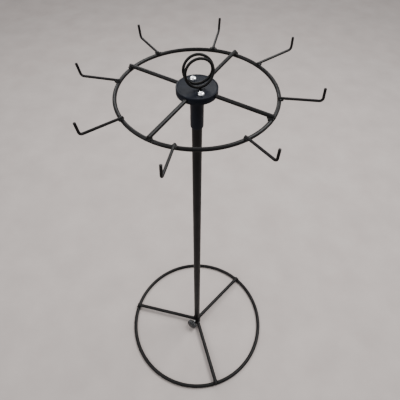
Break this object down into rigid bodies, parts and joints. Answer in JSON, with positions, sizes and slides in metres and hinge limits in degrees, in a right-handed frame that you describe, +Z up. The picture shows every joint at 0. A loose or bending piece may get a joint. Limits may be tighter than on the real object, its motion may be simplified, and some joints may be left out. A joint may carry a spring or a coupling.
{
  "type": "rotating display rack",
  "caption": "Free-standing wire display rack: a ring base with spokes, a clamped post, and a turning ring with outward hooks and a double-loop sign clip on its hub.",
  "frame": {"origin": "on the post axis, on the surface that the base ring stands on", "axes": "+Z up along the post; -Y is the side that the front base spoke points to; bearings run anticlockwise from +X seen from above"},
  "size_m": [0.3939, 0.394, 0.9066],
  "materials": {
    "black_powder_coat": "satin black powder coat with a fine orange-peel texture on steel",
    "hub_plastic": "moulded black plastic, satin, slightly bluish in the light",
    "knob_plastic": "moulded black plastic with ribs, satin",
    "plug_plastic": "moulded black polyethylene",
    "bright_zinc": "bright zinc plated steel",
    "ball_steel": "polished bearing steel"
  },
  "bodies": {
    "base": {"base_ring": "black_powder_coat", "base_spoke_right": "black_powder_coat", "base_spoke_left": "black_powder_coat", "base_spoke_front": "black_powder_coat", "base_ring_welds": "black_powder_coat", "socket_welds": "black_powder_coat", "post_socket": "black_powder_coat"},
    "post": {"post_tube": "black_powder_coat", "post_foot_plug": "plug_plastic", "post_top_plug": "plug_plastic", "pivot_ball": "ball_steel"},
    "rack": {"hub_lower": "hub_plastic", "hub_upper": "hub_plastic", "hub_screws": "bright_zinc", "hub_nuts": "bright_zinc", "clip_nut": "bright_zinc", "rack_ring": "black_powder_coat", "rack_spoke_1": "black_powder_coat", "rack_spoke_2": "black_powder_coat", "rack_spoke_3": "black_powder_coat", "rack_spoke_4": "black_powder_coat", "spoke_welds": "black_powder_coat", "hook_1": "black_powder_coat", "hook_2": "black_powder_coat", "hook_3": "black_powder_coat", "hook_4": "black_powder_coat", "hook_5": "black_powder_coat", "hook_6": "black_powder_coat", "hook_7": "black_powder_coat", "hook_8": "black_powder_coat", "hook_welds": "black_powder_coat"},
    "sign_clip": {"sign_clip": "black_powder_coat"},
    "clamp_stud": {"clamp_stud": "bright_zinc"},
    "clamp_knob": {"clamp_knob": "knob_plastic"}
  },
  "joints": [
    {"name": "post_lift", "type": "slide", "parent": "base", "child": "post", "axis": [0, 0, 1], "range_m": [0, 0.02]},
    {"name": "rack_spin", "type": "hinge", "parent": "post", "child": "rack", "pos_m": [0, 0, 0.8572], "axis": [0, 0, 1], "continuous": true},
    {"name": "sign_clip_turn", "type": "hinge", "parent": "rack", "child": "sign_clip", "pos_m": [0.00409, -0.00802, 0.8622], "axis": [0, 0, 1], "range_deg": [-60, 60]},
    {"name": "clamp_screw", "type": "slide", "parent": "base", "child": "clamp_stud", "axis": [-0.6293, -0.7771, 0], "range_m": [0, 0.004]},
    {"name": "clamp_turn", "type": "hinge", "parent": "clamp_stud", "child": "clamp_knob", "pos_m": [-0.0151, -0.01865, 0.0185], "axis": [-0.6293, -0.7771, 0], "range_deg": [0, 1440]}
  ],
  "couplings": [
    {"joint": "clamp_turn", "follows": "clamp_screw", "rad_per_m": 6283.2}
  ]
}
